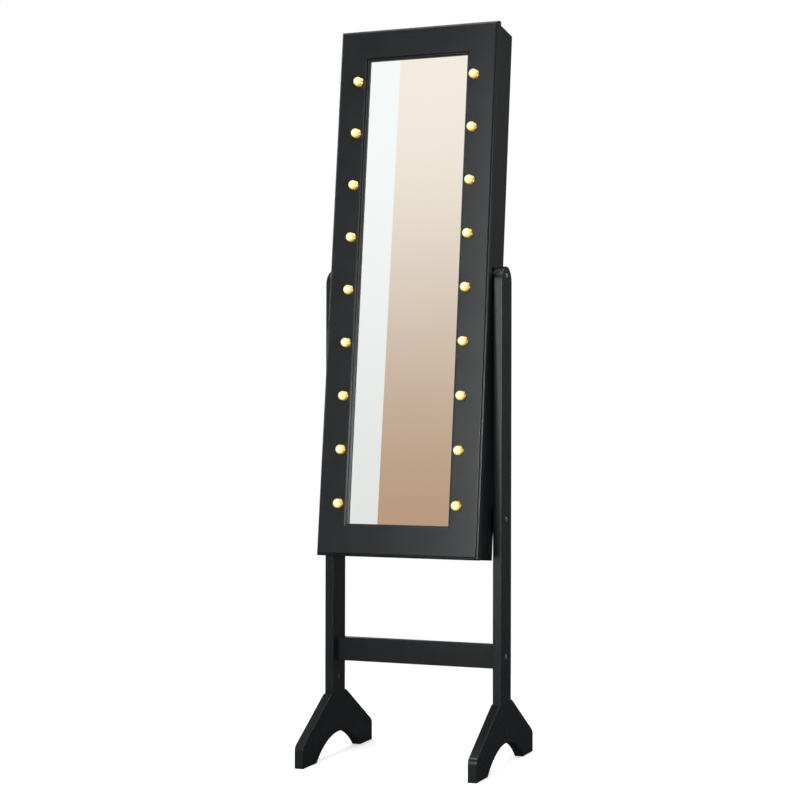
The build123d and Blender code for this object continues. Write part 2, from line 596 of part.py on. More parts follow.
with BuildPart(CABINET) as hinge_body_leaves:
    for hinge_z in HINGE_HEIGHTS:
        offset_z = (HINGE_LENGTH - BODY_BARREL) / 2
        add_leaf(
            hinge_z,
            BODY_FRONT - LEAF_THICKNESS / 2,
            [(hinge_z + offset_z, BODY_BARREL), (hinge_z - offset_z, BODY_BARREL)],
        )
        with Locations((HINGE_X, HINGE_Y, hinge_z)):
            Cylinder(PIN_RADIUS, HINGE_LENGTH, mode=Mode.SUBTRACT)
    with Locations(*hinge_screw_places(BODY_FRONT - LEAF_THICKNESS / 2)):
        Cylinder(SCREW_HEAD_RADIUS, LEAF_THICKNESS, rotation=(90, 0, 0), mode=Mode.SUBTRACT)
save(hinge_body_leaves.part, "hinge_body_leaves")

with BuildPart(CABINET) as hinge_door_leaves:
    for hinge_z in HINGE_HEIGHTS:
        add_leaf(hinge_z, DOOR_BACK + LEAF_THICKNESS / 2, [(hinge_z, DOOR_BARREL)])
        with Locations((HINGE_X, HINGE_Y, hinge_z)):
            Cylinder(PIN_RADIUS + PIN_CLEARANCE, HINGE_LENGTH, mode=Mode.SUBTRACT)
    with Locations(*hinge_screw_places(DOOR_BACK + LEAF_THICKNESS / 2)):
        Cylinder(SCREW_HEAD_RADIUS, LEAF_THICKNESS, rotation=(90, 0, 0), mode=Mode.SUBTRACT)
save(hinge_door_leaves.part, "hinge_door_leaves")

with BuildPart(CABINET) as hinge_pins:
    with Locations(*[(HINGE_X, HINGE_Y, z) for z in HINGE_HEIGHTS]):
        Cylinder(PIN_RADIUS, HINGE_LENGTH)
save(hinge_pins.part, "hinge_pins")


def make_hinge_screws(head_y, shank_y):
    """Flat heads that fill the leaf's holes, with shanks that run into the board."""
    with BuildPart(CABINET) as screws:
        with Locations(*hinge_screw_places(head_y)):
            Cylinder(SCREW_HEAD_RADIUS, LEAF_THICKNESS, rotation=(90, 0, 0))
        with Locations(*hinge_screw_places(shank_y)):
            Cylinder(SCREW_RADIUS, SCREW_LENGTH, rotation=(90, 0, 0))
    return screws.part


save(
    make_hinge_screws(BODY_FRONT - LEAF_THICKNESS / 2, BODY_FRONT + SCREW_LENGTH / 2),
    "hinge_body_screws",
)
save(
    make_hinge_screws(DOOR_BACK + LEAF_THICKNESS / 2, DOOR_BACK - SCREW_LENGTH / 2),
    "hinge_door_screws",
)

# ================================================================ door frame
# Four mitred members with one section: a stepped moulding on both edges, a rebate for the
# mirror and a groove for the lamp strip behind. The section is measured in from the door's
# outer edge and back from its face.
REBATE = 8.0
GROOVE_WIDTH = 12.0
GROOVE_NEAR = DOOR_WIDTH / 2 - BULB_X - GROOVE_WIDTH / 2
GROOVE_FAR = GROOVE_NEAR + GROOVE_WIDTH
GROOVE_FLOOR = 13.0
STEP_DEPTH = 4.6
STEP_ACROSS = EDGE_ROUND + STEP_LAND
MOULDING = STEP_ACROSS + BEAD
EDGE_DEPTH = STEP_DEPTH + EDGE_ROUND
HALF_ROOT = sqrt(0.5)


def section_outline(place):
    """Closed outline of the frame's section; place(across, back) gives a point."""
    far = FRAME_WIDTH
    edge_middle = EDGE_ROUND * (1 - HALF_ROOT)
    bead_middle = BEAD * HALF_ROOT
    with BuildLine() as outline:
        Polyline(place(0, BOARD), place(0, EDGE_DEPTH))
        ThreePointArc(
            place(0, EDGE_DEPTH),
            place(edge_middle, STEP_DEPTH + edge_middle),
            place(EDGE_ROUND, STEP_DEPTH),
        )
        Polyline(place(EDGE_ROUND, STEP_DEPTH), place(STEP_ACROSS, STEP_DEPTH), place(STEP_ACROSS, BEAD))
        ThreePointArc(
            place(STEP_ACROSS, BEAD),
            place(MOULDING - bead_middle, BEAD - bead_middle),
            place(MOULDING, 0),
        )
        Line(place(MOULDING, 0), place(far - MOULDING, 0))
        ThreePointArc(
            place(far - MOULDING, 0),
            place(far - MOULDING + bead_middle, BEAD - bead_middle),
            place(far - STEP_ACROSS, BEAD),
        )
        Polyline(
            place(far - STEP_ACROSS, BEAD),
            place(far - STEP_ACROSS, STEP_DEPTH),
            place(far - EDGE_ROUND, STEP_DEPTH),
        )
        ThreePointArc(
            place(far - EDGE_ROUND, STEP_DEPTH),
            place(far - edge_middle, STEP_DEPTH + edge_middle),
            place(far, EDGE_DEPTH),
        )
        Polyline(
            place(far, EDGE_DEPTH),
            place(far, MIRROR_SETBACK),
            place(far - REBATE, MIRROR_SETBACK),
            place(far - REBATE, BOARD),
            place(GROOVE_FAR, BOARD),
            place(GROOVE_FAR, GROOVE_FLOOR),
            place(GROOVE_NEAR, GROOVE_FLOOR),
            place(GROOVE_NEAR, BOARD),
            place(0, BOARD),
        )
    return outline.edges()


def corner_cut(side, up):
    """Plane of a mitre, with the upright member below it and the cross member above it."""
    corner_z = DOOR_TOP if up > 0 else DOOR_BOTTOM
    corner = CABINET.from_local_coords((side * DOOR_WIDTH / 2, 0, corner_z))
    return Plane(origin=corner, z_dir=CABINET.x_dir * -side + CABINET.z_dir * up)


bulb_heights = [
    BULB_MIDDLE + BULB_PITCH * (number - (BULBS_PER_SIDE - 1) / 2) for number in range(BULBS_PER_SIDE)
]
BASE_RADIUS = 4.0


def make_stile(side):
    with BuildPart() as stile:
        with BuildSketch(CABINET.offset(DOOR_BOTTOM)):
            make_face(
                section_outline(
                    lambda across, back: (side * (DOOR_WIDTH / 2 - across), DOOR_FRONT + back)
                )
            )
        extrude(amount=DOOR_HEIGHT)
        split(bisect_by=corner_cut(side, 1), keep=Keep.BOTTOM)
        split(bisect_by=corner_cut(side, -1), keep=Keep.BOTTOM)
        with BuildSketch(FRONT.offset(-DOOR_FRONT)):
            with Locations(*[(side * BULB_X, z) for z in bulb_heights]):
                Circle(BASE_RADIUS)
        extrude(amount=-GROOVE_FLOOR, mode=Mode.SUBTRACT)
        if side < 0:
            with BuildSketch(*[CABINET.offset(z - BARREL_SPACE / 2) for z in HINGE_HEIGHTS]):
                with Locations((HINGE_X, HINGE_Y)):
                    Circle(BARREL_RADIUS + BARREL_GAP)
            extrude(amount=BARREL_SPACE, mode=Mode.SUBTRACT)
            with BuildSketch(FRONT.offset(-DOOR_BACK)):
                with Locations(*[(SCREW_X, place[2]) for place in hinge_screw_places(0)]):
                    Circle(SCREW_RADIUS)
            extrude(amount=SCREW_LENGTH, mode=Mode.SUBTRACT)
    return stile.part


def make_cross_member(up):
    edge_z = DOOR_TOP if up > 0 else DOOR_BOTTOM
    with BuildPart() as member:
        with BuildSketch(SIDE.offset(-DOOR_WIDTH / 2)):
            make_face(
                section_outline(lambda across, back: (DOOR_FRONT + back, edge_z - up * across))
            )
        extrude(amount=DOOR_WIDTH)
        split(bisect_by=corner_cut(-1, up), keep=Keep.TOP)
        split(bisect_by=corner_cut(1, up), keep=Keep.TOP)
    return member.part


for side, name in SIDES:
    save(make_stile(side), f"door_{name}_stile")
save(make_cross_member(1), "door_top_rail")
save(make_cross_member(-1), "door_bottom_rail")

# Mirror and its backing board, both held in the rebate.
GLASS_CLEARANCE = 0.5
GLASS_MARGIN = FRAME_WIDTH - REBATE + GLASS_CLEARANCE
GLASS_WIDTH = DOOR_WIDTH - 2 * GLASS_MARGIN
GLASS_HEIGHT = DOOR_HEIGHT - 2 * GLASS_MARGIN
GLASS_BACK = DOOR_FRONT + MIRROR_SETBACK + MIRROR_THICKNESS
with BuildPart(CABINET) as mirror_glass:
    with Locations((0, GLASS_BACK - MIRROR_THICKNESS / 2, DOOR_MID_Z)):
        Box(GLASS_WIDTH, MIRROR_THICKNESS, GLASS_HEIGHT)
save(mirror_glass.part, "mirror_glass")

with BuildPart(CABINET) as mirror_backing:
    with Locations((0, (GLASS_BACK + DOOR_BACK) / 2, DOOR_MID_Z)):
        Box(GLASS_WIDTH, DOOR_BACK - GLASS_BACK, GLASS_HEIGHT)
save(mirror_backing.part, "mirror_backing")

# Lined panel over the inside of the door.
PANEL_THICKNESS = 3.0
PANEL_HALF = 136.0
PANEL_BACK = DOOR_BACK + PANEL_THICKNESS
PANEL_CLEARANCE = 6.0     # above and below, inside the cabinet's top and bottom
with BuildPart(CABINET) as door_panel:
    with Locations((0, DOOR_BACK + PANEL_THICKNESS / 2, DOOR_MID_Z)):
        Box(2 * PANEL_HALF, PANEL_THICKNESS, BODY_HEIGHT - 2 * (WALL + PANEL_CLEARANCE))
save(door_panel.part, "door_panel")

# ================================================================ lamps
# Each lamp has a hollow glass globe on a metal base that plugs through the stile into the
# lamp strip behind it.
FLANGE_RADIUS = 9.2
GLOBE_WALL = 0.9
NECK_TO_MIDDLE = 5.4
NECK_DEPTH = GLOBE_REACH - NECK_TO_MIDDLE
FLANGE_DEPTH = 1.2
COLLAR_DEPTH = 1.8
COLLAR_WIDTH = 0.8
EMITTER_RADIUS = 1.6


def lamp_profile_plane(x, z):
    """Plane through one lamp's axis: its axes run right and forward from the door's face."""
    origin = CABINET.from_local_coords((x, DOOR_FRONT, z))
    return Plane(origin=origin, x_dir=CABINET.x_dir, z_dir=CABINET.z_dir)


def lamp_axis(x, z):
    return Axis(CABINET.from_local_coords((x, DOOR_FRONT, z)), -CABINET.y_dir)


NECK_RADIUS = sqrt(GLOBE_RADIUS**2 - NECK_TO_MIDDLE**2)
INNER_NECK = sqrt((GLOBE_RADIUS - GLOBE_WALL) ** 2 - NECK_TO_MIDDLE**2)


def globe_outline():
    with BuildLine() as outline:
        ThreePointArc(
            (NECK_RADIUS, -NECK_DEPTH), (GLOBE_RADIUS, -GLOBE_REACH), (0, -GLOBE_REACH - GLOBE_RADIUS)
        )
        Line((0, -GLOBE_REACH - GLOBE_RADIUS), (0, -GLOBE_REACH - GLOBE_RADIUS + GLOBE_WALL))
        ThreePointArc(
            (0, -GLOBE_REACH - GLOBE_RADIUS + GLOBE_WALL),
            (GLOBE_RADIUS - GLOBE_WALL, -GLOBE_REACH),
            (INNER_NECK, -NECK_DEPTH),
        )
        Line((INNER_NECK, -NECK_DEPTH), (NECK_RADIUS, -NECK_DEPTH))
    return outline.edges()


def base_outline():
    with BuildLine() as outline:
        Polyline(
            (0, GROOVE_FLOOR),
            (BASE_RADIUS, GROOVE_FLOOR),
            (BASE_RADIUS, 0),
            (FLANGE_RADIUS, 0),
            (FLANGE_RADIUS, -FLANGE_DEPTH),
            (NECK_RADIUS + COLLAR_WIDTH, -COLLAR_DEPTH),
            (NECK_RADIUS, -NECK_DEPTH),
            (EMITTER_RADIUS, -NECK_DEPTH),
            (EMITTER_RADIUS, -GLOBE_REACH),
            (0, -GLOBE_REACH),
            (0, GROOVE_FLOOR),
        )
    return outline.edges()


def make_lamps(side, outline):
    """One column of lamp pieces, each turned about its own lamp's axis."""
    with BuildPart() as lamps:
        for z in bulb_heights:
            with BuildSketch(lamp_profile_plane(side * BULB_X, z)):
                make_face(outline)
            revolve(axis=lamp_axis(side * BULB_X, z))
    return lamps.part


for side, name in SIDES:
    save(make_lamps(side, globe_outline()), f"{name}_bulb_globes")
    save(make_lamps(side, base_outline()), f"{name}_bulb_bases")

STRIP_OVERHANG = 15.0
STRIP_LENGTH = BULB_PITCH * (BULBS_PER_SIDE - 1) + 2 * STRIP_OVERHANG
STRIP_WIDTH = 10.0
STRIP_THICKNESS = 1.6
STRIP_Y = DOOR_FRONT + GROOVE_FLOOR
with BuildPart(CABINET) as lamp_strips:
    with Locations(*[(s * BULB_X, STRIP_Y + STRIP_THICKNESS / 2, BULB_MIDDLE) for s in (-1, 1)]):
        Box(STRIP_WIDTH, STRIP_THICKNESS, STRIP_LENGTH)
save(lamp_strips.part, "lamp_strips")

# Flat lead in the groove: down from both strips, along the bottom member and back through
# the lined panel to the battery box.
LEAD_Z = DOOR_BOTTOM + (GROOVE_NEAR + GROOVE_FAR) / 2
LEAD_HALF_WIDTH = 2.5
LEAD_THICKNESS = 1.0
STRIP_END_Z = BULB_MIDDLE - STRIP_LENGTH / 2
with BuildPart(CABINET) as lamp_lead:
    with Locations((0, STRIP_Y + LEAD_THICKNESS / 2, LEAD_Z)):
        Box(2 * (BULB_X + LEAD_HALF_WIDTH), LEAD_THICKNESS, 2 * LEAD_HALF_WIDTH)
    drop = STRIP_END_Z - LEAD_Z
    with Locations(*[(s * BULB_X, STRIP_Y + LEAD_THICKNESS / 2, LEAD_Z + drop / 2) for s in (-1, 1)]):
        Box(2 * LEAD_HALF_WIDTH, LEAD_THICKNESS, drop)
save(lamp_lead.part, "lamp_lead")

# ================================================================ battery box and switch
# A three-cell box on the inside of the door, with a sliding cover and a push button.
BOX_Z = DOOR_BOTTOM + 44.0
BOX_LEFT = -44.0
BOX_LENGTH = 76.0
BOX_HEIGHT = 40.0
BOX_DEPTH = 15.0
BOX_WALL = 2.0
BOX_EDGE = 2.0
BAY_HEIGHT = 34.0
CELL_RADIUS = 5.2
CELL_LENGTH = 43.0
CELL_PITCH = 10.8
CELL_TIP_RADIUS = 1.8
CELL_TIP_LENGTH = 1.0
CELL_BAY = 48.0
BUTTON_BAY = BOX_LENGTH - CELL_BAY - 3 * BOX_WALL
BUTTON_RADIUS = 4.1
BUTTON_CLEARANCE = 0.1
BUTTON_LENGTH = 6.0
BUTTON_PROUD = 2.0
BUTTON_EDGE = 0.6
BUTTON_FLANGE_RADIUS = 6.0
BUTTON_FLANGE_THICKNESS = 1.2
COVER_THICKNESS = 1.4
COVER_HEIGHT = BOX_HEIGHT - 2 * BOX_WALL
COVER_SUNK = 2.2          # from the box's back face to the inner face of the cover
COVER_CLEARANCE = 0.2
COVER_LENGTH = CELL_BAY + 1.6
GRIP_RIBS = 4
GRIP_PITCH = 3.0
box_mid_x = BOX_LEFT + BOX_LENGTH / 2
cell_mid_x = BOX_LEFT + BOX_LENGTH - BOX_WALL - CELL_BAY / 2
button_x = BOX_LEFT + BOX_WALL + BUTTON_BAY / 2
BOX_BACK = PANEL_BACK + BOX_DEPTH
COVER_Y = BOX_BACK - COVER_SUNK
with BuildPart(CABINET) as battery_box:
    with Locations((box_mid_x, PANEL_BACK + BOX_DEPTH / 2, BOX_Z)):
        Box(BOX_LENGTH, BOX_DEPTH, BOX_HEIGHT)
    fillet(battery_box.edges().filter_by(Axis((0, 0, 0), CABINET.y_dir)), radius=BOX_EDGE)
    with Locations((cell_mid_x, PANEL_BACK + BOX_WALL + BOX_DEPTH / 2, BOX_Z)):
        Box(CELL_BAY, BOX_DEPTH, BAY_HEIGHT, mode=Mode.SUBTRACT)
    with Locations((button_x, PANEL_BACK + BOX_DEPTH / 2, BOX_Z)):
        Box(BUTTON_BAY, BOX_DEPTH - 2 * BOX_WALL, BAY_HEIGHT, mode=Mode.SUBTRACT)
    with Locations((button_x, BOX_BACK, BOX_Z)):
        Cylinder(BUTTON_RADIUS + BUTTON_CLEARANCE, BOX_DEPTH, rotation=(90, 0, 0), mode=Mode.SUBTRACT)
    # Grooves for the cover, open at the right-hand end, and the window that it covers.
    with Locations((cell_mid_x + BOX_WALL, COVER_Y + COVER_THICKNESS / 2, BOX_Z)):
        Box(
            CELL_BAY + 2 * BOX_WALL,
            COVER_THICKNESS + 2 * COVER_CLEARANCE,
            COVER_HEIGHT + 2 * COVER_CLEARANCE,
            mode=Mode.SUBTRACT,
        )
    with Locations((cell_mid_x + BOX_WALL, BOX_BACK, BOX_Z)):
        Box(CELL_BAY + 2 * BOX_WALL, 2 * COVER_SUNK, BAY_HEIGHT, mode=Mode.SUBTRACT)
save(battery_box.part, "battery_box")

cover_mid_x = cell_mid_x + (COVER_LENGTH - CELL_BAY) / 2
rib_places = [
    (cell_mid_x + COVER_LENGTH / 4 + GRIP_PITCH * n, COVER_Y + COVER_THICKNESS + 0.3, BOX_Z)
    for n in range(GRIP_RIBS)
]
with BuildPart(CABINET) as battery_cover:
    with Locations((cover_mid_x, COVER_Y + COVER_THICKNESS / 2, BOX_Z)):
        Box(COVER_LENGTH, COVER_THICKNESS, COVER_HEIGHT)
    with Locations(*rib_places):
        Box(1.2, 0.6, 16)
save(battery_cover.part, "battery_cover")

cell_y = PANEL_BACK + BOX_WALL + CELL_RADIUS
with BuildPart(CABINET) as batteries:
    for n in (-1, 0, 1):
        with Locations((cell_mid_x - CELL_TIP_LENGTH / 2, cell_y, BOX_Z + n * CELL_PITCH)):
            Cylinder(CELL_RADIUS, CELL_LENGTH, rotation=(0, 90, 0))
        with Locations((cell_mid_x + CELL_LENGTH / 2, cell_y, BOX_Z + n * CELL_PITCH)):
            Cylinder(CELL_TIP_RADIUS, CELL_TIP_LENGTH, rotation=(0, 90, 0))
save(batteries.part, "batteries")

with BuildPart(CABINET) as switch_button:
    with Locations((button_x, BOX_BACK + BUTTON_PROUD - BUTTON_LENGTH / 2, BOX_Z)):
        Cylinder(BUTTON_RADIUS, BUTTON_LENGTH, rotation=(90, 0, 0))
    fillet(switch_button.edges().filter_by(GeomType.CIRCLE).sort_by(Axis.Y)[-1], radius=BUTTON_EDGE)
    with Locations((button_x, BOX_BACK + BUTTON_PROUD - BUTTON_LENGTH + BUTTON_FLANGE_THICKNESS / 2, BOX_Z)):
        Cylinder(BUTTON_FLANGE_RADIUS, BUTTON_FLANGE_THICKNESS, rotation=(90, 0, 0))
save(switch_button.part, "switch_button")

# Steel strike for the catch.
STRIKE_THICKNESS = 1.2
STRIKE_HEIGHT = 42.0
with BuildPart(CABINET) as strike_plate:
    with Locations((INNER_HALF - CATCH_WIDTH / 2 - 1, DOOR_BACK + STRIKE_THICKNESS / 2, CATCH_Z)):
        Box(CATCH_WIDTH, STRIKE_THICKNESS, STRIKE_HEIGHT)
save(strike_plate.part, "strike_plate")

# Earring bars on the inside of the door, held in slots in two brackets.
EARRING_HEIGHTS = [360.0, 310.0, 260.0, 210.0]
EARRING_REACH = 14.0
EARRING_HALF = 112.0
EARRING_BAR_DEPTH = 3.6
EARRING_BAR_HEIGHT = 11.6
EARRING_SLOT_PLAY = 0.4
EARRING_BAR_Y = PANEL_BACK + EARRING_REACH - 5
BRACKET_WIDTH = 6.0
BRACKET_HEIGHT = 182.0
BRACKET_SLOT = 2.0        # how far a bar reaches into a bracket
NOTCH_PITCH = 10.0
NOTCHES_EACH_WAY = 10
NOTCH_WIDTH = 1.2
NOTCH_HEIGHT = 5.0
bracket_mid_z = (EARRING_HEIGHTS[0] + EARRING_HEIGHTS[-1]) / 2
with BuildPart(CABINET) as earring_brackets:
    for side in (-1, 1):
        with Locations((side * EARRING_HALF, PANEL_BACK + EARRING_REACH / 2, bracket_mid_z)):
            Box(BRACKET_WIDTH, EARRING_REACH, BRACKET_HEIGHT)
        slot_x = side * (EARRING_HALF - BRACKET_WIDTH / 2 + BRACKET_SLOT / 2)
        for height in EARRING_HEIGHTS:
            with Locations((slot_x, EARRING_BAR_Y, height)):
                Box(
                    BRACKET_SLOT,
                    EARRING_BAR_DEPTH + EARRING_SLOT_PLAY,
                    EARRING_BAR_HEIGHT + EARRING_SLOT_PLAY,
                    mode=Mode.SUBTRACT,
                )
save(earring_brackets.part, "earring_brackets")

notch_xs = [NOTCH_PITCH * number for number in range(-NOTCHES_EACH_WAY, NOTCHES_EACH_WAY + 1)]
with BuildPart(CABINET) as earring_bars:
    for height in EARRING_HEIGHTS:
        with Locations((0, EARRING_BAR_Y, height)):
            Box(2 * (EARRING_HALF - BRACKET_WIDTH / 2 + BRACKET_SLOT), EARRING_BAR_DEPTH, EARRING_BAR_HEIGHT)
        notch_z = height + EARRING_BAR_HEIGHT / 2 - NOTCH_HEIGHT / 2 + 1
        with Locations(*[(x, EARRING_BAR_Y, notch_z) for x in notch_xs]):
            Box(NOTCH_WIDTH, EARRING_BAR_DEPTH, NOTCH_HEIGHT, mode=Mode.SUBTRACT)
save(earring_bars.part, "earring_bars")
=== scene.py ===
import json
import random
from math import cos, pi, radians, sin, sqrt

import bmesh
import bpy
from mathutils import Matrix, Vector


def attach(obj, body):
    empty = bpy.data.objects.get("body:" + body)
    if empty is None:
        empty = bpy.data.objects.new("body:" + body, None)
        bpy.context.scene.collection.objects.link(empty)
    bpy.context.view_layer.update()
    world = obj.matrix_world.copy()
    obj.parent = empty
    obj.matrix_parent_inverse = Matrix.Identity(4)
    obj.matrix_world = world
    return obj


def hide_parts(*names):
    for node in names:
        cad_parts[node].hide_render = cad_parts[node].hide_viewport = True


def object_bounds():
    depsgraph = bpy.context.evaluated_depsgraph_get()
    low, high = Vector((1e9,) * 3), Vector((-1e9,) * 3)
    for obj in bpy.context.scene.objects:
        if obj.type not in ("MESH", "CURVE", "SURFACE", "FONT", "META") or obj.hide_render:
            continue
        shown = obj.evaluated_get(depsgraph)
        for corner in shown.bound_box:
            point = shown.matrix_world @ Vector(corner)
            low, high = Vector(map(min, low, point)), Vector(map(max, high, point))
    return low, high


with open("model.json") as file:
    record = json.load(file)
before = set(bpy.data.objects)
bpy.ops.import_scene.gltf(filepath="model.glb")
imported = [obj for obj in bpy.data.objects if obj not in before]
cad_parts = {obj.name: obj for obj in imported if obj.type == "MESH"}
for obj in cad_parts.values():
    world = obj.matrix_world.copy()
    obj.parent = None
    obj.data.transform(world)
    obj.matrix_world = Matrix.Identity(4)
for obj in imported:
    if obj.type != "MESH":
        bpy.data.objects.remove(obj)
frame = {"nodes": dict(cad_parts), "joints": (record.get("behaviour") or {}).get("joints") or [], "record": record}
cad_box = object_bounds()

nodes = frame["nodes"]
scene = bpy.context.scene
scene.view_settings.view_transform = "Standard"


# ---------------------------------------------------------------- places worked out from the frame
# Lengths are in metres throughout.
def joint(name):
    return next(j for j in frame["joints"] if j["name"] == name)


FLOOR_Z = cad_box[0].z
PIVOT = Vector(joint("cabinet_tilt")["pos_m"])
UP = -Vector(joint("door_hinge")["axis"]).normalized()      # up along the leaning cabinet
RIGHT = Vector((1, 0, 0))
BACK = UP.cross(RIGHT).normalized()
CABINET = Matrix((
    (RIGHT.x, BACK.x, UP.x, PIVOT.x),
    (RIGHT.y, BACK.y, UP.y, PIVOT.y),
    (RIGHT.z, BACK.z, UP.z, PIVOT.z),
    (0, 0, 0, 1),
))


# ---------------------------------------------------------------- camera
CAMERA_PLACE = Vector((1.2846, -3.3538, 0.6892))
CAMERA_TARGET = Vector((-0.0378, 0.0, 0.7150))
CAMERA_ROLL = radians(0.14)
LENS = 81.14              # focal length and sensor width in millimetres
SENSOR_WIDTH = 36.0


def aimed(place, target):
    """Transform that stands at place and looks at target, upright."""
    look = (Vector(target) - Vector(place)).to_track_quat("-Z", "Y")
    return Matrix.Translation(place) @ look.to_matrix().to_4x4()


def make_camera():
    data = bpy.data.cameras.new("camera")
    data.sensor_width = SENSOR_WIDTH
    data.lens = LENS
    camera = bpy.data.objects.new("camera", data)
    scene.collection.objects.link(camera)
    roll = Matrix.Rotation(CAMERA_ROLL, 4, "Z")
    camera.matrix_world = aimed(CAMERA_PLACE, CAMERA_TARGET) @ roll
    scene.camera = camera


# ---------------------------------------------------------------- material helpers
NOISE_LOW, NOISE_HIGH = 0.3, 0.7      # most values of a noise texture lie between these


def new_material(name):
    """An empty node material with its output and a Principled shader."""
    material = bpy.data.materials.new(name)
    material.use_nodes = True
    tree = material.node_tree
    tree.nodes.clear()
    output = tree.nodes.new("ShaderNodeOutputMaterial")
    shader = tree.nodes.new("ShaderNodeBsdfPrincipled")
    tree.links.new(shader.outputs["BSDF"], output.inputs["Surface"])
    return material, tree, shader


def set_values(shader, **values):
    for name, value in values.items():
        shader.inputs[name.replace("_", " ")].default_value = value


def add(tree, kind, **values):
    """A node with its properties and its inputs' values set by name."""
    node = tree.nodes.new(kind)
    for name, value in values.items():
        if hasattr(node, name):
            setattr(node, name, value)
        else:
            node.inputs[name.replace("_", " ")].default_value = value
    return node


def object_coordinates(tree, stretch=(1, 1, 1)):
    coordinates = add(tree, "ShaderNodeTexCoord")
    mapping = add(tree, "ShaderNodeMapping", Scale=stretch)
    tree.links.new(coordinates.outputs["Object"], mapping.inputs["Vector"])
    return mapping.outputs["Vector"]


def noise(tree, vector, scale, detail=2.0, roughness=0.5):
    node = add(tree, "ShaderNodeTexNoise", Scale=scale, Detail=detail, Roughness=roughness)
    tree.links.new(vector, node.inputs["Vector"])
    return node.outputs["Fac"]


def to_range(tree, value, low, high, from_low=NOISE_LOW, from_high=NOISE_HIGH, smooth=False):
    """Maps from_low..from_high to low..high, clamped at both ends."""
    node = add(tree, "ShaderNodeMapRange")
    node.inputs["From Min"].default_value = from_low
    node.inputs["From Max"].default_value = from_high
    node.inputs["To Min"].default_value = low
    node.inputs["To Max"].default_value = high
    if smooth:
        node.interpolation_type = "SMOOTHSTEP"
    tree.links.new(value, node.inputs["Value"])
    return node.outputs["Result"]


def colour_input(mix, letter):
    return next(s for s in mix.inputs if s.name == letter and s.type == "RGBA")


def blend_colours(tree, factor, first, second):
    node = add(tree, "ShaderNodeMix", data_type="RGBA")
    colour_input(node, "A").default_value = (*first, 1)
    colour_input(node, "B").default_value = (*second, 1)
    tree.links.new(factor, node.inputs[0])
    return next(o for o in node.outputs if o.type == "RGBA")


def mottled(tree, shader, value, dark, light):
    """Base colour that wanders from dark to light with a noise value."""
    colour = blend_colours(tree, to_range(tree, value, 0, 1), dark, light)
    tree.links.new(colour, shader.inputs["Base Color"])


def uneven_gloss(tree, shader, value, smoothest, roughest):
    roughness = to_range(tree, value, smoothest, roughest)
    tree.links.new(roughness, shader.inputs["Roughness"])


def add_bump(tree, shader, height, distance, strength):
    node = add(tree, "ShaderNodeBump", Strength=strength, Distance=distance)
    tree.links.new(height, node.inputs["Height"])
    tree.links.new(node.outputs["Normal"], shader.inputs["Normal"])


# ---------------------------------------------------------------- materials
# Noise scales are in cells per metre, and bump heights in metres.
LACQUER_IOR = 1.45
LACQUER_DARK = (0.0048, 0.0058, 0.0064)
LACQUER_LIGHT = (0.0068, 0.0078, 0.0085)
LACQUER_CLOUD_SCALE = 9.0
LACQUER_ROUGHNESS = (0.245, 0.272)
WIPING_SCALE = 22.0
PEEL_SCALE = 520.0
PEEL_HEIGHT = 0.00003
PEEL_STRENGTH = 0.16


def black_lacquer():
    """Satin black lacquer over board: faint orange peel, and wiping marks in its sheen."""
    material, tree, shader = new_material("black_lacquer")
    set_values(shader, IOR=LACQUER_IOR, Specular_IOR_Level=0.5)
    vector = object_coordinates(tree)
    cloud = noise(tree, vector, LACQUER_CLOUD_SCALE, detail=3.0)
    mottled(tree, shader, cloud, LACQUER_DARK, LACQUER_LIGHT)
    uneven_gloss(tree, shader, noise(tree, vector, WIPING_SCALE, detail=3.0), *LACQUER_ROUGHNESS)
    peel = noise(tree, vector, PEEL_SCALE, detail=1.0, roughness=0.4)
    add_bump(tree, shader, peel, PEEL_HEIGHT, PEEL_STRENGTH)
    return material


VELVET_SHEEN_TINT = (0.75, 0.77, 0.85, 1)
NAP_STRETCH = (1, 1, 0.35)            # brushed up and down
NAP_SCALE = 26.0
PILE_SCALE = 2600.0
PILE_HEIGHT = 0.0003
PILE_STRENGTH = 0.6


def velvet(name, dark, light):
    """Short-pile velvet: brushed patches in its nap over a fine pile."""
    material, tree, shader = new_material(name)
    set_values(shader, Roughness=0.92, Specular_IOR_Level=0.15)
    set_values(shader, Sheen_Weight=0.22, Sheen_Roughness=0.45, Sheen_Tint=VELVET_SHEEN_TINT)
    nap = noise(tree, object_coordinates(tree, NAP_STRETCH), NAP_SCALE, detail=3.0, roughness=0.6)
    mottled(tree, shader, nap, dark, light)
    pile = noise(tree, object_coordinates(tree), PILE_SCALE, roughness=0.7)
    add_bump(tree, shader, pile, PILE_HEIGHT, PILE_STRENGTH)
    return material


SILVER_DARK = (0.935, 0.950, 0.945)
SILVER_LIGHT = (0.950, 0.965, 0.960)
SILVER_CLOUD_SCALE = 4.0
SILVER_ROUGHNESS = (0.0, 0.003)       # all of it still reflects as a perfect mirror


def silvered_mirror():
    """Clean silvered glass: a sharp reflection, very slightly uneven in tint and polish."""
    material, tree, shader = new_material("silvered_mirror")
    set_values(shader, Metallic=1.0)
    cloud = noise(tree, object_coordinates(tree), SILVER_CLOUD_SCALE, detail=3.0)
    mottled(tree, shader, cloud, SILVER_DARK, SILVER_LIGHT)
    uneven_gloss(tree, shader, cloud, *SILVER_ROUGHNESS)
    return material


# A globe's light from the front of its glass back to its neck: how far back, as a part of
# its radius, then colour.
GLOBE_COLOURS = (
    (0.03, (0.80, 0.76, 0.52)),
    (0.17, (0.60, 0.51, 0.24)),
    (0.45, (0.47, 0.36, 0.095)),
    (0.95, (0.27, 0.16, 0.020)),
)
GLOBE_GLOW = 2.0
GLOBE_GLASS = (0.20, 0.11, 0.03, 1)


